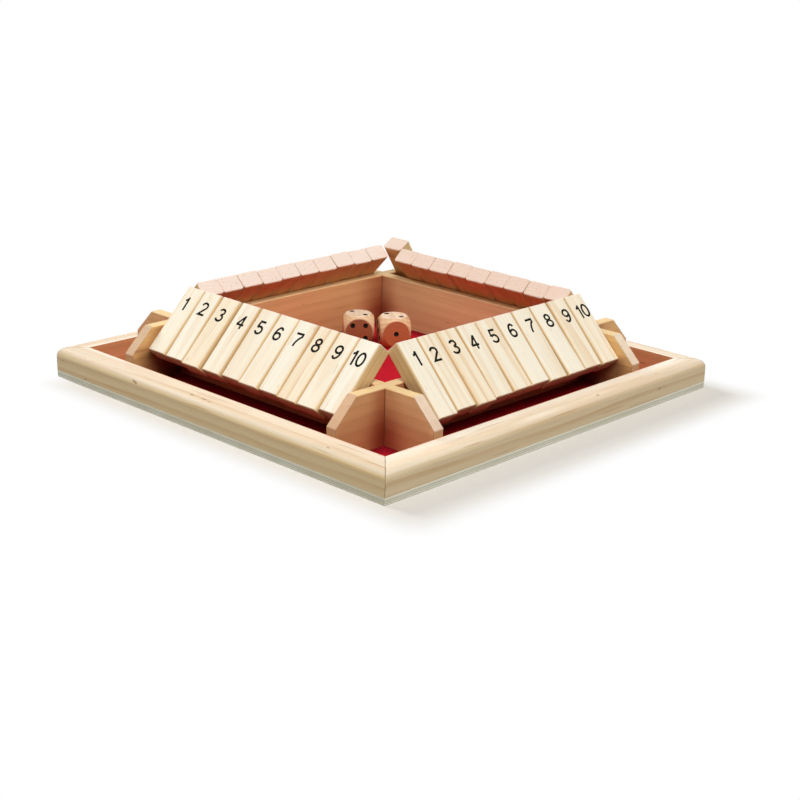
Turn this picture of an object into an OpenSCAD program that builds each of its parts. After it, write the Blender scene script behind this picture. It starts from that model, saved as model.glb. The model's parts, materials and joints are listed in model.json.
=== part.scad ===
// Four-player shut the box game: a square wooden tray with a felt floor, an inner wall of four
// cross-lapped boards, and forty number tiles that flip on four hidden rods round the tray.
// Millimetres, +Z up. The origin is the centre of the underside of the base board.
// The front row faces -Y; the right, back and left rows are the front row turned by quarter turns.

/* [Box] */
// Outer width and depth of the box
box_side = 225; // [222:1:240]
// Height of the rim above the table
rim_height = 15; // [14:0.5:15.5]
// Width of the rim's flat frame
rim_width = 11.5; // [10:0.5:13]
// Radius of the rim's outer top edge
rim_round = 4.5; // [2:0.5:5]
// Thickness of the base board
base_thickness = 3.3; // [3:0.1:4]
// Thickness of the felt glued to the base board
felt_thickness = 1.1; // [0.8:0.1:1.5]

/* [Inner walls] */
// Distance from the centre to each inner wall's inner face
wall_reach = 66.6; // [66:0.1:67.5]
// Thickness of the inner wall boards
wall_thickness = 5.5; // [5:0.1:6]
// Height of the inner walls' top above the table
wall_top = 30.7; // [29:0.1:32]
// Size of the 45 degree clip at the top of each wall end
wall_clip = 12; // [8:0.5:13]
// Size of the eased long edges along each wall's top
wall_ease = 0.5; // [0.3:0.1:0.8]
// Play on each side of the half-lap notches
lap_play = 0.05; // [0.02:0.01:0.1]

/* [Rods] */
// Diameter of the steel rods that the tiles turn on
rod_diameter = 3; // [2.5:0.1:3.2]
// Distance from the centre to each rod
rod_reach = 86; // [85.8:0.1:86.6]
// Height of the rods above the table
rod_height = 22; // [21.5:0.1:22.5]
// Depth of the blind holes that hold the rods' ends
rod_hole_depth = 4; // [3:0.5:4.5]
// Radial play of a rod in its blind holes
rod_play = 0.05; // [0.02:0.01:0.1]

/* [Tiles] */
// Length of most number tiles
tile_length = 37.2; // [34:0.1:38]
// Width of a number tile
tile_width = 12.5; // [12.2:0.1:12.5]
// Thickness of a number tile
tile_thickness = 8.6; // [8:0.1:9]
// Radius of the tiles' long edges
tile_round = 1.5; // [1:0.1:2]
// Size of the small chamfers at the tiles' ends
tile_end_ease = 0.4; // [0.2:0.1:0.8]
// Distance from a tile's lower end to its rod
tile_foot = 6.2; // [5.5:0.1:6.5]
// Radial play of a tile's bore on its rod
bore_play = 0.08; // [0.05:0.01:0.1]
// Gap left between a resting tile and what it leans on
rest_gap = 0.15; // [0.1:0.05:0.2]
// How far a tile's bore may lie off the middle of its thickness
bore_wander = 0.25; // [0:0.05:0.3]

/* [Dice] */
// Size of a die across its flat faces
die_size = 16; // [15:0.5:17]
// Radius of the sphere that rounds a die's corners
die_ball_radius = 10.35; // [10:0.05:11]
// Radius of the cutter that leaves each pip
pip_cutter_radius = 1.6; // [1.2:0.1:2]
// Depth of a pip
pip_depth = 0.6; // [0.4:0.1:0.8]
// Distance of the outer pips from a face's middle
pip_spread = 3.3; // [3:0.1:3.8]

/* [Hidden] */
$fn = 48;
eps = 0.01;
turn = 90;
half_side = box_side / 2;
rim_inner = half_side - rim_width;
felt_top = base_thickness + felt_thickness;
wall_outer = wall_reach + wall_thickness;
wall_middle = wall_reach + wall_thickness / 2;
wall_height = wall_top - felt_top;
lap_height = felt_top + wall_height / 2;
rod_length = 2 * (wall_reach + rod_hole_depth - lap_play);
bore_radius = rod_diameter / 2 + bore_play;
tile_head = tile_length - tile_foot;
tiles_per_row = 10;
golden_angle = 137.5;

ROWS = ["front", "right", "back", "left"];
// How the tiles have slid along their rods: the outer edge of each row's 1, then the gaps up to its 10
ROW_STARTS = [-65.3, -61.3, -61.2, -66.2];
ROW_GAPS = [
    [0.3, 0.4, 1.7, 1.1, 0.2, 0.2, 0.5, 0.3, 0.2],
    [0.1, 0.1, 0.1, 0.2, 0.2, 0.3, 0.5, 0.6, 0.5],
    [0.2, 0.5, 0.1, 0.3, 0.1, 0.5, 0.3, 0.1, 0.4],
    [0.3, 0.1, 0.5, 0.2, 0.3, 0.1, 0.3, 0.4, 0.1]
];
// How much further than tile_foot the lower end of each row's 1 to 10 reaches, as the tiles were
// sawn by eye
FOOT_EXTRAS = [
    [-0.5, -0.5, 0.5, 0, -0.5, 0.2, -0.2, 0.5, 0.5, -0.8],
    [1, 0, 0.8, -0.2, -0.2, -0.4, 0.3, 0.5, 0, 0.4],
    [0.3, -0.4, 0.2, 0.6, -0.2, 0, 0.4, -0.5, 0.2, 0],
    [-0.2, 0.4, 0, -0.5, 0.3, 0.6, -0.3, 0.1, -0.4, 0.2]
];
// The back row's 10 can't lean on its wall: it rests on the left row's 1, which has slid under it.
PROPPED_ROW = 2;

// Where the dice have come to rest: x, y and heading
DIE_LEFT_PLACE = [-46.2, 28.6, 48.5];
DIE_RIGHT_PLACE = [-31, 39.4, 54.6];
// Pips on a die's faces: front, right, top, then the opposite faces that make each pair seven
DIE_LEFT_FACES = [4, 6, 2];
DIE_RIGHT_FACES = [1, 4, 2];

// The sum of the first "count" gaps of a row
function gaps_before(row, count) =
    count == 0 ? 0 : ROW_GAPS[row][count - 1] + gaps_before(row, count - 1);

// Where the middle of tile n lies along its row
function tile_middle(row, n) =
    ROW_STARTS[row] + (n - 0.5) * tile_width + gaps_before(row, n - 1);

// How deep the bore of tile n lies under the middle of its thickness, seen from its number side
function bore_offset(row, n) = bore_wander * sin(golden_angle * (n + row * (tiles_per_row + 1)));

// Distance from the bore of tile n to its blank side, which is the side that it leans on
function blank_side(row, n) = tile_thickness / 2 - bore_offset(row, n);

// A tile leans on the eased outer top edge of its wall, which its rod sees at this place
edge_in = rod_reach - wall_outer;
edge_up = wall_top - wall_ease - rod_height;
edge_distance = sqrt(edge_in * edge_in + edge_up * edge_up);
function wall_lean(row, n) =
    atan2(edge_up, edge_in) + asin((blank_side(row, n) + rest_gap) / edge_distance);

// The propped tile leans on the side of the left row's 1, which stands this far from the centre
propping_side = rest_gap - ROW_STARTS[3];
function propped_lean(row, n) =
    let (back = blank_side(row, n))
    atan2(back, tile_head)
        + acos((rod_reach - propping_side) / sqrt(tile_head * tile_head + back * back));

pine = [0.93, 0.80, 0.62];
pine_pale = [0.98, 0.91, 0.80];
ply = [0.78, 0.76, 0.64];
felt_red = [0.78, 0.07, 0.14];
steel = [0.72, 0.72, 0.74];

module base_board() {
    color(ply)
        translate([-half_side, -half_side, 0])
            cube([box_side, box_side, base_thickness]);
}

module felt_floor() {
    color(felt_red)
        translate([-rim_inner, -rim_inner, base_thickness])
            cube([2 * rim_inner, 2 * rim_inner, felt_thickness]);
}

// Section of the rim, with x running outwards from its inner face and y up from the base board
module rim_section() {
    height = rim_height - base_thickness;
    union() {
        square([rim_width - rim_round, height]);
        square([rim_width, height - rim_round]);
        translate([rim_width - rim_round, height - rim_round])
            circle(r = rim_round);
    }
}

// The front piece of the rim, mitred at both ends
module rim_piece() {
    color(pine)
        intersection() {
            translate([-half_side, -rim_inner, base_thickness])
                rotate([turn, 0, turn])
                    linear_extrude(height = box_side)
                        mirror([1, 0])
                            rim_section();
            linear_extrude(height = rim_height + 1)
                polygon([
                    [-half_side, -half_side], [half_side, -half_side],
                    [rim_inner, -rim_inner], [-rim_inner, -rim_inner]
                ]);
        }
}

// A wall board's long profile, x along the board and y up
module wall_profile() {
    polygon([
        [-rim_inner, felt_top], [rim_inner, felt_top],
        [rim_inner, wall_top - wall_clip], [rim_inner - wall_clip, wall_top],
        [wall_clip - rim_inner, wall_top], [-rim_inner, wall_top - wall_clip]
    ]);
}

// A wall board's cross-section, x across the board and y up, with its top edges eased
module wall_section() {
    half = wall_thickness / 2;
    polygon([
        [-half, felt_top], [half, felt_top],
        [half, wall_top - wall_ease], [half - wall_ease, wall_top],
        [wall_ease - half, wall_top], [-half, wall_top - wall_ease]
    ]);
}

// A wall board that runs along X, centred on y = 0, with no notches or holes
module wall_blank() {
    intersection() {
        translate([0, wall_thickness / 2, 0])
            rotate([turn, 0, 0])
                linear_extrude(height = wall_thickness)
                    wall_profile();
        translate([-rim_inner, 0, 0])
            rotate([turn, 0, turn])
                linear_extrude(height = 2 * rim_inner)
                    wall_section();
    }
}

// The half-lap notches of a board along X, from the height "low" up to the height "high"
module lap_notches(low, high) {
    width = wall_thickness + 2 * lap_play;
    for (side = [-1, 1])
        translate([side * wall_middle - width / 2, -wall_thickness, low])
            cube([width, 2 * wall_thickness, high - low]);
}

// The blind holes in a board along X for the ends of the two rods that cross it
module rod_holes() {
    for (side = [-1, 1])
        translate([side * rod_reach, wall_thickness / 2 + eps, rod_height])
            rotate([turn, 0, 0])
                cylinder(r = rod_diameter / 2 + rod_play, h = rod_hole_depth + eps);
}

// The front and back boards are notched from above, and the side boards from below.
module wall_piece(notched_from_above) {
    color(pine)
        translate([0, -wall_middle, 0])
            difference() {
                wall_blank();
                if (notched_from_above)
                    lap_notches(lap_height - lap_play, wall_top + 1);
                else
                    lap_notches(felt_top - 1, lap_height + lap_play);
                rod_holes();
            }
}

module rod_piece() {
    color(steel)
        translate([-rod_length / 2, -rod_reach, rod_height])
            rotate([0, turn, 0])
                cylinder(d = rod_diameter, h = rod_length);
}

// Section across a tile: x over its width, y over its thickness, with rounded long edges
module tile_section() {
    wide = tile_width - 2 * tile_round;
    thick = tile_thickness - 2 * tile_round;
    union() {
        square([tile_width, thick], center = true);
        square([wide, tile_thickness], center = true);
        for (x = [-1, 1], y = [-1, 1])
            translate([x * wide / 2, y * thick / 2])
                circle(r = tile_round, $fn = 24);
    }
}

// Side profile of a tile: x over its thickness, y along it from its bore, with chamfered ends.
// "foot" is the distance from the bore to the tile's lower end.
module tile_profile(foot) {
    half = tile_thickness / 2;
    inner = half - tile_end_ease;
    low = tile_end_ease - foot;
    high = tile_head - tile_end_ease;
    polygon([
        [-inner, -foot], [inner, -foot], [half, low], [half, high],
        [inner, tile_head], [-inner, tile_head], [-half, high], [-half, low]
    ]);
}

// An upright tile with its number side towards -Y and its bore along X through the origin
module tile_blank(offset, foot) {
    difference() {
        translate([0, -offset, 0])
            intersection() {
                translate([0, 0, -foot])
                    linear_extrude(height = tile_head + foot)
                        tile_section();
                translate([-tile_width / 2, 0, 0])
                    rotate([turn, 0, turn])
                        linear_extrude(height = tile_width)
                            tile_profile(foot);
            }
        rotate([0, turn, 0])
            cylinder(r = bore_radius, h = 2 * tile_width, center = true);
    }
}

// Tile n of the given row, leaning inwards at its rest angle
module tile_piece(row, n) {
    propped = row == PROPPED_ROW && n == tiles_per_row;
    angle = propped ? propped_lean(row, n) : wall_lean(row, n);
    color(pine_pale)
        rotate([0, 0, turn * row])
            translate([tile_middle(row, n), -rod_reach, rod_height])
                rotate([angle - turn, 0, 0])
                    tile_blank(bore_offset(row, n), tile_foot + FOOT_EXTRAS[row][n - 1]);
}

// The places of a face's pips, in steps of pip_spread from its middle
function pip_places(count) =
    concat(
        count % 2 == 1 ? [[0, 0]] : [],
        count > 1 ? [[-1, 1], [1, -1]] : [],
        count > 3 ? [[-1, -1], [1, 1]] : [],
        count == 6 ? [[-1, 0], [1, 0]] : []
    );

// Cutters for the pips on the face that looks along -Y
module face_pips(count) {
    for (p = pip_places(count))
        translate([
            p[0] * pip_spread,
            -die_size / 2 - pip_cutter_radius + pip_depth,
            p[1] * pip_spread
        ])
            sphere(r = pip_cutter_radius, $fn = 24);
}

// A die at the origin. "faces" counts the pips on its front, right and top.
module die_blank(faces) {
    difference() {
        intersection() {
            cube(die_size, center = true);
            sphere(r = die_ball_radius, $fn = 64);
        }
        face_pips(faces[0]);
        rotate([0, 0, 2 * turn]) face_pips(7 - faces[0]);
        rotate([0, 0, turn]) face_pips(faces[1]);
        rotate([0, 0, -turn]) face_pips(7 - faces[1]);
        rotate([-turn, 0, 0]) face_pips(faces[2]);
        rotate([turn, 0, 0]) face_pips(7 - faces[2]);
    }
}

module die_piece(place, faces) {
    color(pine_pale)
        translate([place[0], place[1], felt_top + die_size / 2])
            rotate([0, 0, place[2]])
                die_blank(faces);
}

base_board();
felt_floor();
for (i = [0:3]) {
    rotate([0, 0, turn * i]) rim_piece();
    rotate([0, 0, turn * i]) wall_piece(i % 2 == 0);
    rotate([0, 0, turn * i]) rod_piece();
    for (n = [1:tiles_per_row])
        tile_piece(i, n);
}
die_piece(DIE_LEFT_PLACE, DIE_LEFT_FACES);  // die_left
die_piece(DIE_RIGHT_PLACE, DIE_RIGHT_FACES);  // die_right
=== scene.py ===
import json
import math
import random

import bmesh
import bpy
from mathutils import Matrix, Vector, noise


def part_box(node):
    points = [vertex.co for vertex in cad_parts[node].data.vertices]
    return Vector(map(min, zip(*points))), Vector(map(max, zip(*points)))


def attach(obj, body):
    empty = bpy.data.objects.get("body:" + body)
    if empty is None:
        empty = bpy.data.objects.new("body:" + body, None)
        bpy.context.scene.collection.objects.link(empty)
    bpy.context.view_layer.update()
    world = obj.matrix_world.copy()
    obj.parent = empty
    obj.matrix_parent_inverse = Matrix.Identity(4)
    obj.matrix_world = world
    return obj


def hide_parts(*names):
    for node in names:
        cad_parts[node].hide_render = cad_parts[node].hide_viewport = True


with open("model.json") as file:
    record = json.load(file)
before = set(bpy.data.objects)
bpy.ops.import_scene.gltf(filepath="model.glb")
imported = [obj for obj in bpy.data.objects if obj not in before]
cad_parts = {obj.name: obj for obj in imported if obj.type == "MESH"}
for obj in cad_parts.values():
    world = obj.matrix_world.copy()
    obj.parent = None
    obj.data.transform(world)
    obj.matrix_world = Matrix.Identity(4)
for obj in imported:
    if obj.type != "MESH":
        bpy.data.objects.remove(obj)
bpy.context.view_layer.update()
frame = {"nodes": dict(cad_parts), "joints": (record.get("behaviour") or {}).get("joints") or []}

NODES = frame["nodes"]
MM = 0.001
TINY = 1e-6
ROWS = ("front", "right", "back", "left")
TILES_PER_ROW = 10

# Camera: the photograph's viewpoint, worked out from the box's labelled sizes
CAMERA_PLACE = (0.5095, -0.5225, 0.2373)
CAMERA_YAW = math.radians(43.575)
CAMERA_PITCH = math.radians(18.661)
CAMERA_ROLL = math.radians(1.451)
CAMERA_LENS = 70.08
CAMERA_SENSOR = 36.0

# Light: a sky that is dark near the horizon, a large soft box high on the near side, and a small
# low one on the left, which throws the soft shadow to the right
SKY_LOW = 0.10
SKY_HIGH = 0.38
SKY_SINES = (0.25, 0.85)
LAMPS = {
    "soft_box": {"place": (1.50, -0.86, 2.58), "size": 1.8, "power": 73.0},
    "side_box": {"place": (-1.92, -0.29, 1.41), "size": 0.8, "power": 19.0},
}

# Floor: within the first distance of the shadow's centre it is pale and takes the game's shadow,
# and from the second on it is plain white. The distance is measured along X or Y, whichever is
# longer, with the corners rounded. FLOOR_BOUNCE is what it throws back at the game.
FLOOR_SIZE = 12.0
FLOOR_PALE = (0.755, 0.727, 0.675, 1.0)
FLOOR_BOUNCE = 0.35
SHADOW_CENTRE = (0.016, 0.0, 0.0)
SHADOW_REACH = (0.112, 0.131)
SHADOW_ROUNDING = 0.02
WHITE = (1.0, 1.0, 1.0, 1.0)


# ---------------------------------------------------------------- node trees

def colour(code):
    """A linear RGBA colour from a hexadecimal one."""
    def linear(value):
        return value / 12.92 if value <= 0.04045 else ((value + 0.055) / 1.055) ** 2.4
    return tuple(linear(int(code[i:i + 2], 16) / 255) for i in (0, 2, 4)) + (1.0,)


def add(tree, kind, inputs=None, **settings):
    """A new node with its settings, and its inputs set to values or linked to sockets."""
    node = tree.nodes.new("ShaderNode" + kind)
    for name, value in settings.items():
        setattr(node, name, value)
    for name, value in (inputs or {}).items():
        if isinstance(value, bpy.types.NodeSocket):
            tree.links.new(value, node.inputs[name])
        else:
            node.inputs[name].default_value = value
    return node


def math_of(tree, operation, *values):
    """A Math node's result."""
    return add(tree, "Math", dict(enumerate(values)), operation=operation).outputs[0]


def vector_of(tree, operation, *values):
    """A Vector Math node's vector."""
    return add(tree, "VectorMath", dict(enumerate(values)), operation=operation).outputs["Vector"]


def mixed(tree, factor, a, b, blend_type="MIX"):
    """Two colours mixed by a factor."""
    inputs = {0: factor, 6: a, 7: b}
    return add(tree, "Mix", inputs, data_type="RGBA", blend_type=blend_type).outputs[2]


def ramped(tree, value, low, high, out_low=0.0, out_high=1.0):
    """A value taken smoothly from one range to another, and held at the range's ends."""
    inputs = {0: value, 1: low, 2: high, 3: out_low, 4: out_high}
    return add(tree, "MapRange", inputs, interpolation_type="SMOOTHSTEP").outputs[0]


def noise_of(tree, vector, scale, detail=2.0):
    inputs = {"Vector": vector, "Scale": scale, "Detail": detail}
    return add(tree, "TexNoise", inputs).outputs["Fac"]


def bumped(tree, height, strength, distance):
    inputs = {"Height": height, "Strength": strength, "Distance": distance}
    return add(tree, "Bump", inputs).outputs["Normal"]


def new_material(name, roughness, specular, metallic=0.0):
    """A material's node tree and its shader."""
    material = bpy.data.materials.new(name)
    material.use_nodes = True
    shader = material.node_tree.nodes["Principled BSDF"]
    shader.inputs["Metallic"].default_value = metallic
    shader.inputs["Roughness"].default_value = roughness
    shader.inputs["Specular IOR Level"].default_value = specular
    return material, material.node_tree, shader


def wire(tree, shader, **sockets):
    """Links each result to the shader's input of that name, with _ for a space."""
    for name, socket in sockets.items():
        tree.links.new(socket, shader.inputs[name.replace("_", " ")])


def place_in(tree, board=None):
    """The shaded point in the frame of a board, given as the matrix that places the board."""
    vector = add(tree, "TexCoord").outputs["Object"]
    if board is None:
        return vector
    inverse = board.inverted()
    inputs = {"Vector": vector, "Location": inverse.translation, "Rotation": inverse.to_euler()}
    return add(tree, "Mapping", inputs).outputs["Vector"]


def dress(piece, material):
    """Gives a CAD node or a new piece its one material."""
    piece.data.materials.clear()
    piece.data.materials.append(material)


# ---------------------------------------------------------------- wood

# The noises in pine: each one's scale, how fast it changes along the grain (1 is as fast as across
# it) and its detail. PINE_SHOWN gives the range of a noise that its result takes from 0 to 1.
PINE_NOISES = {
    "wander": (45.0, 0.12, 2.0), "uneven": (160.0, 0.08, 2.0), "Fibre": (1500.0, 0.03, 3.0),
    "Patch": (55.0, 0.3, 3.0), "Fleck": (420.0, 0.3, 1.0), "Streak": (620.0, 0.035, 1.0),
}
PINE_SHOWN = {"Patch": (0.35, 0.68), "Fleck": (0.74, 0.80), "Streak": (0.66, 0.76)}
# How far the rings wander, where in its year a ring turns dark and pale again, and how strong it is
RING_WANDER = 7 * MM
RING_RISE = (0.25, 0.85)
RING_FALL = (0.88, 1.0)
RING_GAIN = 1.6


def pine_group():
    """Pine in a board's own frame, with the grain along Y. Its results go from 0 to 1: the year
    rings round the heart, the fibres, soft patches of tone, dark resin flecks and long fine
    streaks."""
    group = bpy.data.node_groups.new("pine", "ShaderNodeTree")
    interface = group.interface
    for name, kind in (("Point", "Vector"), ("Heart", "Vector"), ("Spacing", "Float"),
                       ("Seed", "Float")):
        interface.new_socket(name, in_out="INPUT", socket_type="NodeSocket" + kind)
    for name in ("Ring", "Fibre", "Patch", "Fleck", "Streak"):
        interface.new_socket(name, in_out="OUTPUT", socket_type="NodeSocketFloat")
    given = group.nodes.new("NodeGroupInput").outputs
    result = group.nodes.new("NodeGroupOutput").inputs

    apart = add(group, "CombineXYZ", {axis: given["Seed"] for axis in "XYZ"}).outputs[0]
    point = vector_of(group, "ADD", given["Point"], apart)

    def grained(name):
        scale, rate, detail = PINE_NOISES[name]
        drawn_out = vector_of(group, "MULTIPLY", point, (1.0, rate, 1.0))
        return noise_of(group, drawn_out, scale, detail)

    wander = grained("wander")
    from_heart = vector_of(group, "SUBTRACT", given["Point"], given["Heart"])
    across = vector_of(group, "MULTIPLY", from_heart, (1.0, 0.0, 1.0))
    radius = add(group, "VectorMath", {0: across}, operation="LENGTH").outputs["Value"]
    radius = math_of(group, "MULTIPLY_ADD", wander, RING_WANDER, radius)
    phase = math_of(group, "FRACT", math_of(group, "DIVIDE", radius, given["Spacing"]))
    rise = ramped(group, phase, *RING_RISE)
    fall = ramped(group, phase, *RING_FALL, 1.0, 0.0)
    uneven = grained("uneven")
    ring = math_of(group, "MULTIPLY", math_of(group, "MULTIPLY", rise, fall), uneven)
    group.links.new(math_of(group, "MULTIPLY", ring, RING_GAIN), result["Ring"])
    group.links.new(grained("Fibre"), result["Fibre"])
    for name, shown in PINE_SHOWN.items():
        group.links.new(ramped(group, grained(name), *shown), result[name])
    return group


PINE = pine_group()
# What a board draws at random, besides what its look says: how far its heart lies to the side, its
# place in the noises and how strong its rings are
HEART_ASIDE = 20 * MM
SEED_MOST = 9.0
RING_DRAW = (0.5, 1.3)
# How far the fibres change a board's colour and its roughness, the depth of the relief and how far
# they fray the edge of an area
FIBRE_SHADE = (0.955, 1.025)
FIBRE_ROUGH = (-0.06, 0.08)
RELIEF = 0.12 * MM
FRAY = 0.4 * MM


def pine_material(name, board, look, seed, areas, grainy=1.0, tone=None, extra=None):
    """Pine for one board. look gives the colours and strengths, areas the sides of the board that
    are coloured otherwise, tone how warm it is from 0 to 1, and extra a last change to the
    colour."""
    chance = random.Random(seed)
    material, tree, shader = new_material(name, look["roughness"], look["specular"])
    point = place_in(tree, board)
    heart = (chance.uniform(-HEART_ASIDE, HEART_ASIDE), 0.0, -chance.uniform(*look["heart"]))
    grain = add(tree, "Group", node_tree=PINE)
    tree.links.new(point, grain.inputs["Point"])
    grain.inputs["Heart"].default_value = heart
    grain.inputs["Spacing"].default_value = chance.uniform(*look["spacing"])
    grain.inputs["Seed"].default_value = chance.uniform(0.0, SEED_MOST)
    out = grain.outputs

    drawn = chance.random() * look["spread"]
    early = mixed(tree, drawn if tone is None else tone, colour(look["early"]),
                  colour(look["warm"]))
    base = mixed(tree, math_of(tree, "MULTIPLY", out["Patch"], look["patch"]), early,
                 colour(look["warm"]))
    ring = math_of(tree, "MULTIPLY", out["Ring"],
                   look["ring"] * grainy * chance.uniform(*RING_DRAW))
    for side in areas:
        shown = area_shown(tree, point, out["Fibre"], side)
        base = mixed(tree, shown, base, colour(side["colour"]))
        ring = math_of(tree, "MULTIPLY", ring,
                       math_of(tree, "MULTIPLY_ADD", shown, -side["calm"], 1.0))
    base = mixed(tree, ring, base, colour(look["late"]), blend_type="MULTIPLY")
    base = mixed(tree, math_of(tree, "MULTIPLY", out["Fleck"], look["fleck"]), base,
                 colour(look["resin"]))
    base = mixed(tree, math_of(tree, "MULTIPLY", out["Streak"], look["streak"]), base,
                 colour(look["vein"]))
    fibre = ramped(tree, out["Fibre"], 0.3, 0.7, *FIBRE_SHADE)
    base = add(tree, "VectorMath", {0: base, "Scale": fibre}, operation="SCALE").outputs["Vector"]
    if extra:
        base = extra(tree, point, base)
    rough = ramped(tree, out["Fibre"], 0.2, 0.8, *(look["roughness"] + by for by in FIBRE_ROUGH))
    relief = math_of(tree, "MULTIPLY_ADD", out["Ring"], 0.5, out["Fibre"])
    wire(tree, shader, Base_Color=base, Roughness=rough,
         Normal=bumped(tree, relief, look["bump"], RELIEF))
    return material


def area_shown(tree, point, fibre, side):
    """How much of a side's own colour shows at a point: it grows from one distance along the
    side's axis to another, and the fibres fray its edge."""
    parts = add(tree, "SeparateXYZ", {0: point}).outputs
    sign, axis = side["axis"]
    reach = parts["XYZ".index(axis)]
    if sign == "-":
        reach = math_of(tree, "MULTIPLY", reach, -1.0)
    elif sign == "|":
        reach = math_of(tree, "ABSOLUTE", reach)
    elif sign == "/":
        reach = math_of(tree, "ADD", math_of(tree, "ABSOLUTE", parts[1]), reach)
    frayed = math_of(tree, "MULTIPLY_ADD", fibre, FRAY, reach)
    return ramped(tree, frayed, *side["span"], 0.0, side["strength"])


def area(axis, end, depth, code, strength=1.0, calm=0.0):
    """The side of a board that lies at a distance along an axis, such as +X, -Y or |X for both,
    or /Z for the ends clipped between |Y and Z. calm takes that much of its rings away."""
    return {"axis": axis, "span": (end - depth, end), "colour": code, "strength": strength,
            "calm": calm}


# Colours: early and warm wood, late wood in the rings, resin flecks and streaks (vein). Strengths:
# how far a board's tone is drawn towards warm (spread), patches, rings, flecks and streaks. The
# spacing of the rings and the depth of the heart below the board are in metres.
TILE_LOOK = {
    "early": "FFF8E5", "warm": "FCEACB", "late": "E9C99A", "resin": "B98D63", "vein": "D8A878",
    "spread": 0.9, "patch": 0.3, "ring": 0.30, "fleck": 0.25, "streak": 0.38,
    "roughness": 0.56, "specular": 0.3, "bump": 0.25,
    "spacing": (0.0014, 0.0030), "heart": (0.02, 0.06),
}
RIM_LOOK = {
    "early": "F4E2CA", "warm": "EFD8B6", "late": "DFC096", "resin": "9A7650", "vein": "BC8C5C",
    "spread": 0.4, "patch": 0.5, "ring": 0.44, "fleck": 0.75, "streak": 0.5,
    "roughness": 0.46, "specular": 0.35, "bump": 0.18,
    "spacing": (0.0030, 0.0050), "heart": (0.012, 0.03),
}
WALL_LOOK = {
    "early": "F0B985", "warm": "E4A670", "late": "CD9A70", "resin": "8A5A38", "vein": "A86A44",
    "spread": 0.4, "patch": 0.7, "ring": 0.15, "fleck": 0.3, "streak": 0.4,
    "roughness": 0.50, "specular": 0.35, "bump": 0.18,
    "spacing": (0.0045, 0.0070), "heart": (0.02, 0.05),
}
DIE_LOOK = {
    "early": "F3D4A8", "warm": "E4B884", "late": "DDB48C", "resin": "8A5A38", "vein": "B8804E",
    "spread": 0.3, "patch": 0.4, "ring": 0.5, "fleck": 0.2, "streak": 0.2,
    "roughness": 0.42, "specular": 0.45, "bump": 0.15,
    "spacing": (0.0012, 0.0018), "heart": (0.012, 0.02),
}


# ---------------------------------------------------------------- places on the CAD nodes

def middle(node):
    low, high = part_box(node)
    return (low + high) / 2


def row_turn(row):
    """The quarter turns that bring the front row to this row."""
    return Matrix.Rotation(ROWS.index(row) * math.pi / 2, 4, "Z")


def frame_of(origin, across, along, out):
    """The matrix that places a board whose own X, Y and Z point across, along and out."""
    turned = Matrix((across, along, out)).transposed().to_4x4()
    return Matrix.Translation(origin) @ turned


def board_place(node, row):
    """A straight board of a row: Y along the row, Z up, X towards the outside."""
    turn = row_turn(row).to_3x3()
    return frame_of(middle(node), turn @ Vector((0, -1, 0)), turn @ Vector((1, 0, 0)),
                    Vector((0, 0, 1)))


def widest_face_normal(node):
    mesh = NODES[node].data
    return max(mesh.polygons, key=lambda face: face.area).normal.copy()


def wall_crossing():
    """A wall's thickness, and how far from its middle the two walls that cross it lie."""
    low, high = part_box("wall_front")
    return high.y - low.y, -(low.y + high.y) / 2


TILE_JOINTS = {joint["child"]: joint for joint in frame["joints"] if joint["type"] == "hinge"}


def tile_place(node):
    """A tile: its origin on its bore, X across, Y towards its top end, Z out of its number side."""
    joint = TILE_JOINTS[node]
    across = Vector(joint["axis"])
    out = widest_face_normal(node)
    out = out if out.z > 0 else -out
    return frame_of(Vector(joint["pos_m"]), across, out.cross(across), out)


def reach_in(place, node, axis):
    """How far a node reaches along an axis of a frame, from the frame's origin."""
    inverse = place.inverted()
    return max((inverse @ vertex.co)[axis] for vertex in NODES[node].data.vertices)


# ---------------------------------------------------------------- new pieces

def new_piece(name, mesh, place, body, material):
    """A mesh object in its place, on its body."""
    piece = bpy.data.objects.new(name, mesh)
    bpy.context.scene.collection.objects.link(piece)
    piece.matrix_world = place
    if not mesh.materials:
        mesh.materials.append(material)
    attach(piece, body)
    return piece


def mesh_from(name, verts, faces, smooth=False):
    mesh = bpy.data.meshes.new(name)
    mesh.from_pydata(verts, [], faces)
    mesh.validate()
    build = bmesh.new()
    build.from_mesh(mesh)
    bmesh.ops.recalc_face_normals(build, faces=build.faces)
    build.to_mesh(mesh)
    build.free()
    mesh.polygons.foreach_set("use_smooth", [smooth] * len(mesh.polygons))
    return mesh


# ---------------------------------------------------------------- numbers

# A number's height, how far its middle lies below the tile's top end, how far the ink stands out of
# the wood and how deep it goes into it
NUMBER_HEIGHT = 7.3 * MM
NUMBER_DROP = 9.4 * MM
NUMBER_INK = 0.04 * MM
NUMBER_ROOT = 0.15 * MM
# The width of the pen, and how far the 10's digits lie from its middle, next to the height
NUMBER_STROKE = 0.15
TEN_SPREAD = 0.31
# How far each number of the two near rows is printed off its place, across and up its tile, in mm
NUMBER_SHIFTS = {
    "front": ((-0.8, 0.2), (0.0, 0.4), (-0.3, 0.0), (0.6, -0.1), (-0.2, 0.0),
              (-0.7, -0.2), (-0.4, -0.2), (-0.9, 0.1), (-0.4, -0.1), (-1.1, -0.1)),
    "right": ((-0.2, -0.1), (-1.5, -0.3), (-0.9, 0.4), (-1.0, 0.1), (0.0, 0.2),
              (0.2, 0.4), (0.6, 0.2), (0.9, 0.2), (1.1, 0.1), (0.3, 0.1)),
}
# The most that a far row's number is off its place, in mm, and that any number tilts, in degrees
NUMBER_STRAY = 0.5
NUMBER_TILT = 1.2
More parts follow.
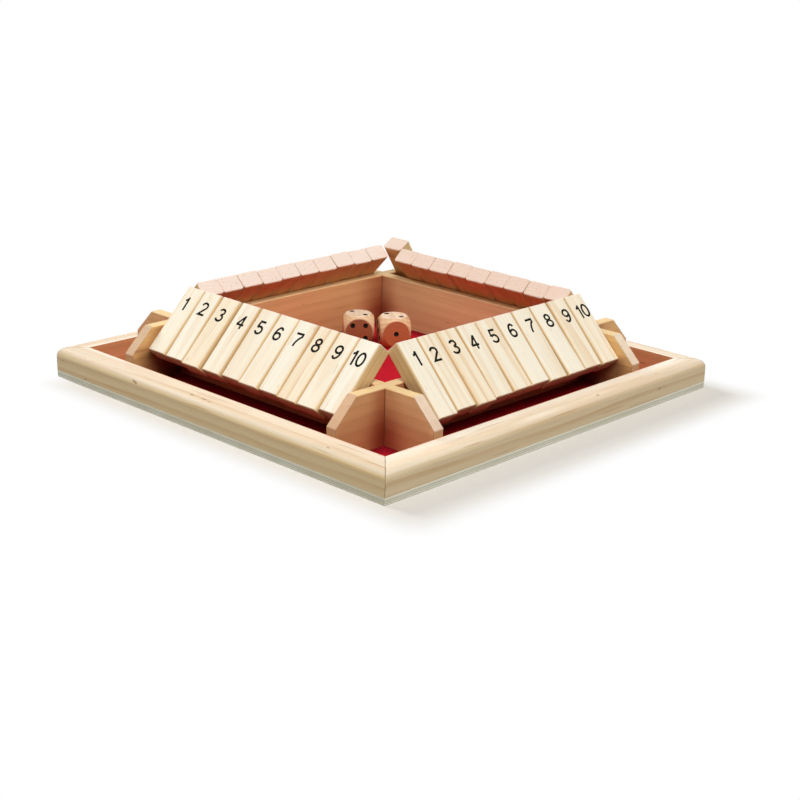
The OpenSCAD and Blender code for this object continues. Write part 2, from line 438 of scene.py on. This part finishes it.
# The pen's path: the angle between an arc's points, half the pen's width, the height of a stroke
# along the top, and the sharpest corner, as the cosine of half its turn
ARC_STEP = math.radians(9)
EDGE = NUMBER_STROKE / 2
TOP = 1 - EDGE
SHARPEST = 0.35


def arc(x, y, wide, high, start, end):
    """Points on an ellipse's arc, from one angle in degrees to another."""
    start, end = math.radians(start), math.radians(end)
    count = max(2, round(abs(end - start) / ARC_STEP))
    angles = [start + (end - start) * i / count for i in range(count + 1)]
    return [(x + wide * math.cos(a), y + high * math.sin(a)) for a in angles]


def oval(x, y, wide, high):
    return arc(x, y, wide, high, 0, 360)


# The pen strokes of each digit, on a digit one high, standing on y = 0 and centred on x = 0
SIX = [
    oval(0.01, 0.31, 0.255, 0.31 - EDGE),
    arc(0.06, 0.42, 0.305, TOP - 0.42, 190, 90) + arc(0.06, 0.68, 0.19, TOP - 0.68, 90, 20)[1:],
]
DIGITS = {
    "0": [oval(0, 0.5, 0.265, 0.5 - EDGE)],
    "1": [[(0.09, 0), (0.09, 1)], arc(-0.19, 1.02, 0.27, 0.27, -84, -12)],
    "2": [arc(0, 0.705, 0.255, TOP - 0.705, 172, -32)
          + [(-0.02, 0.33), (-0.25, EDGE), (0.31, EDGE)]],
    "3": [arc(-0.01, 0.735, 0.225, TOP - 0.735, 165, -90),
          arc(-0.01, 0.295, 0.27, 0.295 - EDGE, 98, -165)],
    "4": [[(-0.33, 0.30), (0.31, 0.30)], [(0.12, 0), (0.12, 0.97)],
          [(-0.29, 0.29), (0.11, 0.93)]],
    "5": [[(0.27, TOP), (-0.165, TOP), (-0.225, 0.50)],
          arc(0, 0.325, 0.27, 0.325 - EDGE, 142, -160)],
    "6": SIX,
    "7": [[(-0.28, TOP), (0.27, TOP)] + arc(0.62, 0.0, 0.72, 0.86, 119, 178)],
    "8": [oval(0, 0.735, 0.215, TOP - 0.735), oval(0, 0.295, 0.265, 0.295 - EDGE)],
    "9": [[(-x, 1 - y) for x, y in stroke] for stroke in SIX],
}


def stroke_solid(points):
    """A closed prism along a pen stroke, as vertices and faces, in digit units and metres deep."""
    closed = math.dist(points[0], points[-1]) < TINY
    points = [Vector(p) for p in (points[:-1] if closed else points)]
    count = len(points)
    sides = []
    for i, point in enumerate(points):
        before = points[i - 1] if closed or i else point
        after = points[(i + 1) % count] if closed or i < count - 1 else point
        way_in, way_out = (point - before).normalized(), (after - point).normalized()
        way_in = way_in if way_in.length else way_out
        way_out = way_out if way_out.length else way_in
        side = Vector((-way_in.y - way_out.y, way_in.x + way_out.x)).normalized()
        reach = EDGE / max(SHARPEST, side.dot(Vector((-way_in.y, way_in.x))))
        sides.append((point + side * reach, point - side * reach))
    verts = [(p.x * NUMBER_HEIGHT, p.y * NUMBER_HEIGHT, z)
             for pair in sides for p in pair for z in (-NUMBER_ROOT, NUMBER_INK)]
    faces = []
    for i in range(count if closed else count - 1):
        a, b = 4 * i, 4 * ((i + 1) % count)
        loop_a, loop_b = (a, a + 1, a + 3, a + 2), (b, b + 1, b + 3, b + 2)
        for k in range(4):
            faces.append((loop_a[k], loop_a[k - 1], loop_b[k - 1], loop_b[k]))
    if not closed:
        last = 4 * (count - 1)
        faces += [(0, 1, 3, 2), (last, last + 2, last + 3, last + 1)]
    return verts, faces


def digit_mesh(digit):
    """One digit, with its strokes united into one closed solid."""
    parts = []
    for i, points in enumerate(DIGITS[digit]):
        mesh = mesh_from(f"digit_{digit}_{i}", *stroke_solid(points))
        part = bpy.data.objects.new(mesh.name, mesh)
        bpy.context.scene.collection.objects.link(part)
        parts.append(part)
    for part in parts[1:]:
        union = parts[0].modifiers.new("union", "BOOLEAN")
        union.operation = "UNION"
        union.solver = "EXACT"
        union.object = part
    bpy.context.view_layer.update()
    graph = bpy.context.evaluated_depsgraph_get()
    united = bpy.data.meshes.new_from_object(parts[0].evaluated_get(graph))
    for part in parts:
        bpy.data.objects.remove(part)
    return united


def number_mesh(number, digits):
    """The mesh of a number from 1 to 10, centred on the origin."""
    build = bmesh.new()
    shift = TEN_SPREAD if number > 9 else 0
    for i, digit in enumerate(str(number)):
        start = len(build.verts)
        build.from_mesh(digits[digit])
        build.verts.ensure_lookup_table()
        move = Vector(((2 * i - 1) * shift * NUMBER_HEIGHT, -NUMBER_HEIGHT / 2, 0))
        bmesh.ops.translate(build, verts=build.verts[start:], vec=move)
    mesh = bpy.data.meshes.new(f"number_{number}")
    build.to_mesh(mesh)
    build.free()
    return mesh


def ink_material():
    """Matt black printing ink, a little thin over the grain."""
    material, tree, shader = new_material("ink", 0.75, 0.1)
    thin = noise_of(tree, place_in(tree), 2600.0, 3.0)
    wire(tree, shader,
         Base_Color=mixed(tree, ramped(tree, thin, 0.35, 0.8), colour("12100E"), colour("2A2520")),
         Roughness=ramped(tree, thin, 0.3, 0.7, 0.7, 0.85))
    return material


def print_numbers(ink):
    """Prints each tile's number near its top end. The far rows' numbers stray at random."""
    digits = {digit: digit_mesh(digit) for digit in DIGITS}
    meshes = {n: number_mesh(n, digits) for n in range(1, TILES_PER_ROW + 1)}
    chance = random.Random(7)
    for row in ROWS:
        for n in range(1, TILES_PER_ROW + 1):
            node = f"tile_{row}_{n}"
            place = tile_place(node)
            shift = [chance.uniform(-NUMBER_STRAY, NUMBER_STRAY) for _ in range(2)]
            if row in NUMBER_SHIFTS:
                shift = NUMBER_SHIFTS[row][n - 1]
            along = reach_in(place, node, 1) - NUMBER_DROP + shift[1] * MM
            spot = Matrix.Translation((shift[0] * MM, along, reach_in(place, node, 2)))
            turned = math.radians(chance.uniform(-NUMBER_TILT, NUMBER_TILT))
            tilt = Matrix.Rotation(turned, 4, "Z")
            new_piece(f"number_{row}_{n}", meshes[n], place @ spot @ tilt, node, ink)


# ---------------------------------------------------------------- dice

# The dice as part.scad has them: their headings in degrees, the pips on the faces towards their own
# -Y, +X and +Z, half their size, and the balls that hollow out the pips
DIE_HEADINGS = {"die_left": 48.5, "die_right": 54.6}
DIE_FACES = {"die_left": (4, 6, 2), "die_right": (1, 4, 2)}
DIE_HALF = 8.0 * MM
PIP_RADIUS = 1.6 * MM
PIP_DEPTH = 0.6 * MM
PIP_SPREAD = 3.3 * MM
# The paint's coat in a pip reaches this far into the wood and out of it
PAINT = 0.03 * MM
PIP_SIDES = 20
PIP_RINGS = 5


def die_place(node):
    turn = Matrix.Rotation(math.radians(DIE_HEADINGS[node]), 4, "Z")
    return Matrix.Translation(middle(node)) @ turn


def pip_places(count):
    """The places of a face's pips, in steps of the pips' spread."""
    places = [(0, 0)] if count % 2 else []
    if count > 1:
        places += [(-1, 1), (1, -1)]
    if count > 3:
        places += [(-1, -1), (1, 1)]
    if count == 6:
        places += [(-1, 0), (1, 0)]
    return places


def paint_drop(build, place):
    """Adds the coat of paint in one pip's hollow, whose mouth looks along the place's Z."""
    centre = PIP_RADIUS - PIP_DEPTH
    loops = []
    for radius in (PIP_RADIUS - PAINT, PIP_RADIUS + PAINT):
        rim = math.acos(centre / radius)
        for i in (range(1, PIP_RINGS + 1) if radius < PIP_RADIUS else range(PIP_RINGS, 0, -1)):
            angle = rim * i / PIP_RINGS
            ring_radius, depth = radius * math.sin(angle), centre - radius * math.cos(angle)
            loops.append([build.verts.new(place @ Vector((
                ring_radius * math.cos(2 * math.pi * k / PIP_SIDES),
                ring_radius * math.sin(2 * math.pi * k / PIP_SIDES), depth)))
                for k in range(PIP_SIDES)])
    for a, b in zip(loops, loops[1:]):
        for k in range(PIP_SIDES):
            build.faces.new((a[k - 1], a[k], b[k], b[k - 1]))
    build.faces.new(loops[0])
    build.faces.new(reversed(loops[-1]))


def pips_mesh(node):
    """All the painted pips of one die, about the die's centre."""
    front, right, top = DIE_FACES[node]
    quarter = math.pi / 2
    face_up = Matrix.Rotation(quarter, 4, "X")
    sides = [
        (front, face_up), (7 - front, Matrix.Rotation(2 * quarter, 4, "Z") @ face_up),
        (right, Matrix.Rotation(quarter, 4, "Z") @ face_up),
        (7 - right, Matrix.Rotation(-quarter, 4, "Z") @ face_up),
        (top, Matrix.Identity(4)), (7 - top, Matrix.Rotation(2 * quarter, 4, "X")),
    ]
    build = bmesh.new()
    for count, side in sides:
        for x, y in pip_places(count):
            spot = Matrix.Translation((x * PIP_SPREAD, y * PIP_SPREAD, DIE_HALF))
            paint_drop(build, side @ spot)
    bmesh.ops.recalc_face_normals(build, faces=build.faces)
    for face in build.faces:
        face.smooth = True
    mesh = bpy.data.meshes.new("pips_" + node)
    build.to_mesh(mesh)
    build.free()
    return mesh


# ---------------------------------------------------------------- felt

FELT_STEP = 2 * MM
FELT_WAVE = 0.10 * MM
FELT_WAVE_SCALE = 45.0
# How far from the walls' feet the felt carries painted shade, and what its colour is multiplied by
# there
FELT_SHADE = 11 * MM
PAINTED_FELT_SHADE = (0.35, 0.16, 0.40, 1.0)
# How far the felt's fibres bend, and how deep its pile is
FELT_BEND = 1.6 * MM
FELT_PILE = 0.3 * MM


def felt_mesh():
    """The glued sheet of felt: flat below, and slightly uneven on top."""
    low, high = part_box("felt_floor")
    count = round((high.x - low.x) / FELT_STEP)
    verts, faces = [], []
    for level in (0, 1):
        for j in range(count + 1):
            for i in range(count + 1):
                x = low.x + (high.x - low.x) * i / count
                y = low.y + (high.y - low.y) * j / count
                wave = FELT_WAVE * (0.5 + 0.5 * noise.noise(Vector((x, y, 0)) * FELT_WAVE_SCALE))
                verts.append((x, y, high.z - wave if level else low.z))
    line = count + 1
    layer = line * line
    for j in range(count):
        for i in range(count):
            a = j * line + i
            faces.append((a, a + line, a + line + 1, a + 1))
            faces.append((a + layer, a + layer + 1, a + layer + line + 1, a + layer + line))
    for i in range(count):
        for a, b in ((i, i + 1), (layer - line + i + 1, layer - line + i),
                     ((i + 1) * line, i * line), (i * line + count, (i + 1) * line + count)):
            faces.append((a, b, b + layer, a + layer))
    return mesh_from("felt_sheet", verts, faces, smooth=True)


def felt_material():
    """Short red wool felt: a matted pile of fine fibres with soft tonal clouds, and painted shade
    by the feet of the walls."""
    material, tree, shader = new_material("felt", 0.95, 0.1)
    shader.inputs["Sheen Weight"].default_value = 0.25
    shader.inputs["Sheen Roughness"].default_value = 0.45
    shader.inputs["Sheen Tint"].default_value = colour("E8505A")
    point = place_in(tree)
    warp = add(tree, "TexNoise", {"Vector": point, "Scale": 700.0, "Detail": 2.0}).outputs["Color"]
    bend = vector_of(tree, "MULTIPLY", warp, (FELT_BEND, FELT_BEND, 0.0))
    bent = vector_of(tree, "ADD", point, bend)
    fibre = noise_of(tree, vector_of(tree, "MULTIPLY", bent, (1.0, 0.35, 1.0)), 3200.0, 3.0)
    cross = noise_of(tree, vector_of(tree, "MULTIPLY", bent, (0.35, 1.0, 1.0)), 2900.0, 3.0)
    pile = math_of(tree, "MAXIMUM", fibre, cross)
    cloud = noise_of(tree, point, 60.0, 4.0)
    base = mixed(tree, ramped(tree, pile, 0.42, 0.72), colour("A80C1E"), colour("D81A30"))
    base = mixed(tree, ramped(tree, cloud, 0.35, 0.7, 0.0, 0.35), base, colour("B80E22"))

    thick, crossing = wall_crossing()
    sides = add(tree, "SeparateXYZ", {0: vector_of(tree, "ABSOLUTE", point)}).outputs
    gaps = [math_of(tree, "ABSOLUTE", math_of(tree, "SUBTRACT", side, crossing))
            for side in sides[:2]]
    gap = math_of(tree, "SUBTRACT", math_of(tree, "MINIMUM", *gaps), thick / 2)
    # Painted shade on the felt by the walls' feet
    base = mixed(tree, ramped(tree, gap, 0.0, FELT_SHADE, 1.0, 0.0), base, PAINTED_FELT_SHADE,
                 blend_type="MULTIPLY")
    wire(tree, shader, Base_Color=base, Normal=bumped(tree, pile, 0.6, FELT_PILE))
    return material


def lay_felt():
    felt = new_piece("felt_sheet", felt_mesh(), Matrix.Identity(4), "box",
                     felt_material())
    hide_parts("felt_floor")


# ---------------------------------------------------------------- boards, rods, tiles

# Plywood: where the core ply starts and ends, and the glue lines' heights and strengths. All the
# heights are in plies above the underside.
PLIES = 3
CORE_FROM = (1.1, 1.25)
CORE_TO = (2.1, 2.25)
GLUE_LINES = ((1.2, 0.35), (2.2, 0.5))
# How far a glue line reaches from its middle, how wavy the plies are, how high the shade at the
# edge's foot is, and the depth of the relief
GLUE_REACH = (0.06 * MM, 0.28 * MM)
PLY_WAVE = 0.5 * MM
FOOT_SHADE = 0.35 * MM
PLY_RELIEF = 0.2 * MM
PLY_GRAIN = {"Heart": (0.03, 0.0, -0.05), "Spacing": 0.006, "Seed": 3.0}


def ply_material():
    """Thin plywood: three plies that show as bands on the edge, with thin lines of glue."""
    material, tree, shader = new_material("plywood", 0.62, 0.25)
    point = place_in(tree)
    low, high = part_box("base_board")
    ply = (high.z - low.z) / PLIES
    grain = add(tree, "Group", {"Point": point} | PLY_GRAIN, node_tree=PINE).outputs
    height = add(tree, "SeparateXYZ", {0: point}).outputs[2]
    wavy = math_of(tree, "MULTIPLY_ADD", noise_of(tree, point, 70.0), PLY_WAVE, height)
    veneer = mixed(tree, grain["Patch"], colour("FAF6E2"), colour("F0EBD2"))
    core = mixed(tree, grain["Patch"], colour("ECEAD6"), colour("E0DDC2"))
    core_from, core_to = ([ply * level for level in edge] for edge in (CORE_FROM, CORE_TO))
    inside = math_of(tree, "MULTIPLY", ramped(tree, wavy, *core_from),
                     ramped(tree, wavy, *core_to, 1.0, 0.0))
    base = mixed(tree, inside, veneer, core)
    base = mixed(tree, ramped(tree, height, 0.0, FOOT_SHADE, 0.55, 0.0), base, colour("6E6C58"))
    for level, strength in GLUE_LINES:
        gap = math_of(tree, "ABSOLUTE", math_of(tree, "SUBTRACT", wavy, ply * level))
        base = mixed(tree, ramped(tree, gap, *GLUE_REACH, strength, 0.0), base, colour("8F8B72"))
    wire(tree, shader, Base_Color=base, Normal=bumped(tree, grain["Fibre"], 0.3, PLY_RELIEF))
    return material


def steel_material():
    """Drawn steel wire with faint lines along it."""
    material, tree, shader = new_material("steel", 0.3, 0.5, 1.0)
    lines = noise_of(tree, place_in(tree), 3000.0, 2.0)
    wire(tree, shader, Base_Color=mixed(tree, lines, colour("8F9092"), colour("C9CACC")),
         Roughness=ramped(tree, lines, 0.3, 0.7, 0.22, 0.42))
    return material


BASE_BEVEL = 0.2 * MM
RIM_BEVEL = 0.3 * MM
WALL_BEVEL = 0.4 * MM
SHARP = math.radians(30)


def soften(node, width):
    """Breaks a CAD node's sharp edges with a small bevel, which catches the light."""
    weld = NODES[node].modifiers.new("weld", "WELD")
    weld.merge_threshold = TINY
    bevel = NODES[node].modifiers.new("soft_edges", "BEVEL")
    bevel.width = width
    bevel.segments = 2
    bevel.limit_method = "ANGLE"
    bevel.angle_limit = SHARP


# A mitred joint's dark line: how deep into the board it is full, and where it ends
SEAM_REACH = (0.10 * MM, 0.42 * MM)


def seam_darkened(half_length, half_width):
    """A change to a rim's colour: the joint at each mitred end shows as a fine dark line."""
    def change(tree, point, base):
        parts = add(tree, "SeparateXYZ", {0: point}).outputs
        along = math_of(tree, "ABSOLUTE", parts[1])
        cut = math_of(tree, "ADD", parts[0], half_length - half_width)
        depth = math_of(tree, "SUBTRACT", cut, along)
        worn = ramped(tree, noise_of(tree, point, 220.0), 0.35, 0.6, 0.35, 0.95)
        line = math_of(tree, "MULTIPLY", ramped(tree, depth, *SEAM_REACH, 1.0, 0.0), worn)
        return mixed(tree, line, base, colour("6E5236"))
    return change


# The painted shade and painted red bounce from the felt on the walls' sides, and the joints' dark
# lines. A _DOWN pair gives two distances below a wall's top: a tone starts at the first one and is
# full at the second one.
SIDE_DOWN = (0.4 * MM, 1.0 * MM)
JOINT_LINE_REACH = (0.15 * MM, 0.5 * MM)
JOINT_LINE_STRENGTH = 0.65
END_SHADE_DOWN = (9.5 * MM, 14 * MM)
END_SHADE_ALONG = (92 * MM, 99 * MM)
END_SHADE_START = 1 * MM
END_SHADE_STRENGTH = 0.55
BOUNCE_DOWN = (2 * MM, 22 * MM)
BOUNCE_SPREAD = 20 * MM
BOUNCE_FAR = 0.3
PAINTED_FELT_BOUNCE = (0.50, 0.19, 0.17, 1.0)


def corner_darkened(top, shaded_side, strength, spread):
    """A change to a wall's colour, which paints in shade and bounce light. It paints shade towards
    the joints where two walls cross, and paints red bounce and shade from the felt low down, most
    of all by those joints. It also paints the shadow of a leaning tile low on one end (1 or -1, or
    0 for neither). Each joint also shows as a fine dark line."""
    thick, crossing = wall_crossing()

    def change(tree, point, base):
        _, signed, up = add(tree, "SeparateXYZ", {0: point}).outputs

        def below(down):
            start, full = down
            return ramped(tree, up, top - full, top - start, 1.0, 0.0)

        along = math_of(tree, "ABSOLUTE", signed)
        side = below(SIDE_DOWN)
        off = math_of(tree, "ABSOLUTE", math_of(tree, "SUBTRACT", along, crossing))
        away = math_of(tree, "SUBTRACT", off, thick / 2)
        soft = math_of(tree, "MULTIPLY", side, ramped(tree, away, 0.0, spread, strength, 0.0))
        line = math_of(tree, "MULTIPLY", side,
                       ramped(tree, away, *JOINT_LINE_REACH, JOINT_LINE_STRENGTH, 0.0))
        # Painted shadow of a leaning tile, low on one end
        if shaded_side:
            at_end = math_of(tree, "MULTIPLY", signed, shaded_side)
            painted_tile_shadow = math_of(tree, "MULTIPLY",
                             ramped(tree, along, *END_SHADE_ALONG, END_SHADE_STRENGTH, 0.0),
                             ramped(tree, at_end, crossing, crossing + END_SHADE_START))
            painted_tile_shadow = math_of(tree, "MULTIPLY", painted_tile_shadow, below(END_SHADE_DOWN))
            base = mixed(tree, painted_tile_shadow, base, colour("603018"))
        # Painted shade towards the joints where two walls cross
        base = mixed(tree, soft, base, colour("943C16"))
        # Painted red bounce and shade from the felt, strongest low down by the joints
        close = ramped(tree, away, 0.0, BOUNCE_SPREAD, 1.0, BOUNCE_FAR)
        painted_felt_bounce = math_of(tree, "MULTIPLY", below(BOUNCE_DOWN), close)
        base = mixed(tree, painted_felt_bounce, base, PAINTED_FELT_BOUNCE, blend_type="MULTIPLY")
        return mixed(tree, line, base, colour("643820"))
    return change


# What differs between the rims: other wood colours, how warm the near ones are, the colour of the
# outer side, and how much the rounded edge is darkened. These are partly each board's own wood and
# partly painted light and shade: the right rim is painted paler, its outer side darker, and each
# rounded edge carries painted shade.
RIM_SHADES = {"right": {"early": "FFF4DF", "warm": "FCE6C8"}}
RIM_TONES = {"front": 0.3, "right": 0.1}
RIM_SIDES = {"front": "EFD4A2", "right": "E4CBA0", "back": "EFD4A2", "left": "EFD4A2"}
RIM_ROUND_SHADES = {"front": 0.5, "right": 0.2, "back": 0.35, "left": 0.35}
# The depths over which the colours of areas grow: a rim's rounding and outer side, a flat side, a
# sawn end and a wall's clipped corner
ROUND_REACH = 4.5 * MM
OUTER_REACH = 0.7 * MM
SIDE_REACH = 0.3 * MM
END_REACH = 0.4 * MM
CLIP_REACH = 0.5 * MM
# The seeds of the first rim, wall and die. A tile's is its number, and this much more by each row.
RIM_SEED = 20
WALL_SEED = 40
DIE_SEED = 60
TILE_SEED_STEP = 100


def finish_rim(row, seed):
    node = f"rim_{row}"
    place = board_place(node, row)
    half_width, half_length = (reach_in(place, node, axis) for axis in range(2))
    areas = [area("-X", half_width, half_width, "FFF3E2", 0.8, calm=0.3),
             # Painted shade on the rounded outer edge
             area("+X", half_width, ROUND_REACH, "E0CEB0", RIM_ROUND_SHADES[row]),
             area("+X", half_width, OUTER_REACH, RIM_SIDES[row], 0.9),
             # The inner side: unfinished wood, made warmer by painted red bounce and shade from the
             # felt
             area("-X", half_width, SIDE_REACH, "DE9A61", 0.9)]
    extra = seam_darkened(half_length, half_width)
    look = RIM_LOOK | RIM_SHADES.get(row, {})
    dress(NODES[node], pine_material(node, place, look, seed, areas, tone=RIM_TONES.get(row),
                                     extra=extra))
    soften(node, RIM_BEVEL)


# The colours of each wall's clipped ends, outer side and inner side, and of one end that is tinted.
# They are partly each wall's own wood and partly painted light and shade, which differ from wall to
# wall: the tinted ends are painted paler and golden, and the back wall's inner side paler.
CLIP_COLOURS = {"front": "F2DABF", "right": "DAB189", "back": "F5E2C8", "left": "D6B48E"}
OUTER_COLOURS = {"front": "FAC58C", "right": "DAA672", "back": "D7A36E", "left": "D7A36E"}
INNER_COLOURS = {"back": "FFD9A2", "left": "F1BD82"}
PAINTED_END_LIGHT = {"front": ("-Y", "F2C181"), "right": ("+Y", "F8CA84"), "back": ("-Y", "F6C880"),
             "left": ("+Y", "EABC78")}
TINT_FULL = 10 * MM
TINT_REACH = 16 * MM
# The end of a wall that is in a tile's shade, and the strength and spread of the shade by a joint
SHADED_SIDES = {"front": 0, "right": 0, "back": -1, "left": 1}
CORNER_SHADES = {"front": (0.25, 12 * MM), "right": (0.65, 12 * MM), "back": (0.5, 13 * MM),
                 "left": (0.65, 24 * MM)}


def finish_wall(row, seed):
    node = f"wall_{row}"
    place = board_place(node, row)
    outer, half_length, top = (reach_in(place, node, axis) for axis in range(3))
    clip = max(abs(point.y) + point.z for point in
               (place.inverted() @ vertex.co for vertex in NODES[node].data.vertices))
    end, tint = PAINTED_END_LIGHT[row]
    areas = [area("+X", outer, SIDE_REACH, OUTER_COLOURS[row], 0.85)]
    if row in INNER_COLOURS:
        areas.append(area("-X", outer, SIDE_REACH, INNER_COLOURS[row], 0.85))
    areas += [area(end, half_length - TINT_FULL, TINT_REACH, tint, 0.8),
              area("+Z", top, SIDE_REACH, "F8DCA4", 0.9),
              area("|Y", half_length, END_REACH, "BC9066", 0.9, calm=0.7),
              area("/Z", clip, CLIP_REACH, CLIP_COLOURS[row], 0.9, calm=0.7)]
    extra = corner_darkened(top, SHADED_SIDES[row], *CORNER_SHADES[row])
    dress(NODES[node], pine_material(node, place, WALL_LOOK, seed, areas, extra=extra))
    soften(node, WALL_BEVEL)


def finish_boards():
    dress(NODES["base_board"], ply_material())
    soften("base_board", BASE_BEVEL)
    steel = steel_material()
    for i, row in enumerate(ROWS):
        finish_rim(row, RIM_SEED + i)
        finish_wall(row, WALL_SEED + i)
        dress(NODES[f"rod_{row}"], steel)


# Tiles whose grain shows more than the others'
GRAINY = {"tile_front_8": 1.8, "tile_right_2": 1.4, "tile_right_3": 3.0, "tile_right_5": 1.6,
          "tile_back_4": 2.0, "tile_left_7": 2.4}
# How warm each tile of the two near rows is, from 0 to 1
TONES = {
    "front": (0.45, 0.10, 0.90, 0.25, 0.10, 0.25, 0.15, 0.85, 0.30, 0.00),
    "right": (0.35, 0.55, 0.75, 0.15, 0.45, 0.20, 0.25, 0.20, 0.55, 0.50),
}
# The colours of the top ends of each row's tiles: end grain, with painted light and shade that
# differ by row, darker and pinker on the back row and paler on the left row
END_COLOURS = {"front": "F9E3D3", "right": "F9E3D3", "back": "EACFBD", "left": "FFEADB"}
TILE_SIDE_REACH = 1.0 * MM
TILE_BACK_REACH = 0.7 * MM
FLIP = Matrix.Rotation(math.pi, 4, "X")
# An area on a side that isn't quite flat ends this far outside it
PAST = 0.1 * MM


def finish_tiles():
    for i, row in enumerate(ROWS):
        for n in range(1, TILES_PER_ROW + 1):
            node = f"tile_{row}_{n}"
            place = tile_place(node)
            half_width, top_end, face = (reach_in(place, node, axis) for axis in range(3))
            foot, under = (reach_in(place @ FLIP, node, axis) for axis in (1, 2))
            # Sawn sides and their rounded edges, partly darkened as painted shade between the tiles
            areas = [area("|X", half_width + PAST, TILE_SIDE_REACH, "E0C08C"),
                     # The underside: painted red bounce and shade from the felt
                     area("-Z", under + 2 * PAST, TILE_BACK_REACH, "E2B27C"),
                     area("+Y", top_end + PAST, END_REACH, END_COLOURS[row], 0.9, calm=0.7),
                     # The foot end: end grain, darkened further as painted shade
                     area("-Y", foot + PAST, END_REACH, "C08A64", 0.9)]
            seed = TILE_SEED_STEP * i + n
            grainy = GRAINY.get(node, 1.0)
            tone = TONES[row][n - 1] if row in TONES else None
            dress(NODES[node], pine_material(node, place, TILE_LOOK, seed, areas, grainy, tone))


# The colours of each die's two faces across its own Y, and of its lower part. The faces are end
# grain, darkened and reddened as painted shade and red bounce from the felt; the lower part carries
# painted shade and bounce.
DIE_FRONTS = {"die_left": "98522E", "die_right": "BC6238"}
DIE_FOOT_SHADES = {"die_left": "9A5634", "die_right": "CC8850"}


def finish_dice(ink):
    for i, node in enumerate(DIE_HEADINGS):
        place = die_place(node)
        # Painted shade and red bounce on the lower part and on the faces across Y
        areas = [area("-Z", 0.7 * DIE_HALF, 1.3 * DIE_HALF, DIE_FOOT_SHADES[node], 0.8),
                 area("|Y", DIE_HALF + PAST, END_REACH, DIE_FRONTS[node], 0.9, calm=0.6),
                 area("+Z", DIE_HALF + PAST, END_REACH, "F9E2C6", 0.9, calm=0.6)]
        dress(NODES[node], pine_material(node, place, DIE_LOOK, DIE_SEED + i, areas))
        new_piece("pips_" + node, pips_mesh(node), place, node, ink)


# ---------------------------------------------------------------- studio

def seen_directly(tree):
    """1 where the camera looks straight at a thing, or sees it in metal or glass."""
    rays = add(tree, "LightPath").outputs
    glossy = math_of(tree, "MAXIMUM", rays["Is Camera Ray"], rays["Is Glossy Ray"])
    return math_of(tree, "MAXIMUM", glossy, rays["Is Transmission Ray"])


def make_floor():
    """A white floor: it takes the game's shadow close by, and turns plain white further out."""
    half = FLOOR_SIZE / 2
    corners = [(-half, -half, 0), (half, -half, 0), (half, half, 0), (-half, half, 0)]
    floor = bpy.data.objects.new("floor", mesh_from("floor", corners, [(0, 1, 2, 3)]))
    bpy.context.scene.collection.objects.link(floor)
    material = bpy.data.materials.new("floor")
    material.use_nodes = True
    tree = material.node_tree
    tree.nodes.clear()
    seen = seen_directly(tree)
    bounce = (FLOOR_BOUNCE, FLOOR_BOUNCE, FLOOR_BOUNCE, 1.0)
    near = add(tree, "BsdfDiffuse", {"Color": mixed(tree, seen, bounce, FLOOR_PALE)}).outputs[0]
    plain = add(tree, "Emission", {"Color": mixed(tree, seen, bounce, WHITE)}).outputs[0]
    apart = vector_of(tree, "SUBTRACT", place_in(tree), SHADOW_CENTRE)
    sides = add(tree, "SeparateXYZ", {0: vector_of(tree, "ABSOLUTE", apart)}).outputs
    away = math_of(tree, "SMOOTH_MAX", sides[0], sides[1], SHADOW_ROUNDING)
    shader = add(tree, "MixShader", {0: ramped(tree, away, *SHADOW_REACH), 1: near, 2: plain})
    output = add(tree, "OutputMaterial")
    tree.links.new(shader.outputs[0], output.inputs[0])
    floor.data.materials.append(material)


def make_sky():
    world = bpy.data.worlds.new("sky")
    bpy.context.scene.world = world
    world.use_nodes = True
    tree = world.node_tree
    background = tree.nodes["Background"]
    background.inputs["Color"].default_value = WHITE
    sine = add(tree, "SeparateXYZ", {0: add(tree, "TexCoord").outputs["Generated"]}).outputs[2]
    light = ramped(tree, sine, *SKY_SINES, SKY_LOW, SKY_HIGH)
    strength = math_of(tree, "MAXIMUM", seen_directly(tree), light)
    tree.links.new(strength, background.inputs["Strength"])


def make_lamps():
    for name, lamp in LAMPS.items():
        data = bpy.data.lights.new(name, "AREA")
        data.shape = "SQUARE"
        data.size = lamp["size"]
        data.energy = lamp["power"]
        piece = bpy.data.objects.new(name, data)
        bpy.context.scene.collection.objects.link(piece)
        piece.location = lamp["place"]
        piece.rotation_euler = (-Vector(lamp["place"])).to_track_quat("-Z", "Y").to_euler()


def make_camera():
    data = bpy.data.cameras.new("camera")
    data.lens = CAMERA_LENS
    data.sensor_width = CAMERA_SENSOR
    data.clip_start = 0.01
    camera = bpy.data.objects.new("camera", data)
    bpy.context.scene.collection.objects.link(camera)
    aim = (Matrix.Rotation(CAMERA_YAW, 4, "Z") @ Matrix.Rotation(math.pi / 2 - CAMERA_PITCH, 4, "X")
           @ Matrix.Rotation(CAMERA_ROLL, 4, "Z"))
    camera.matrix_world = Matrix.Translation(CAMERA_PLACE) @ aim
    bpy.context.scene.camera = camera


make_camera()
make_sky()
make_lamps()
make_floor()
INK = ink_material()
finish_boards()
finish_tiles()
finish_dice(INK)
lay_felt()
print_numbers(INK)
bpy.context.scene.view_settings.view_transform = "Standard"
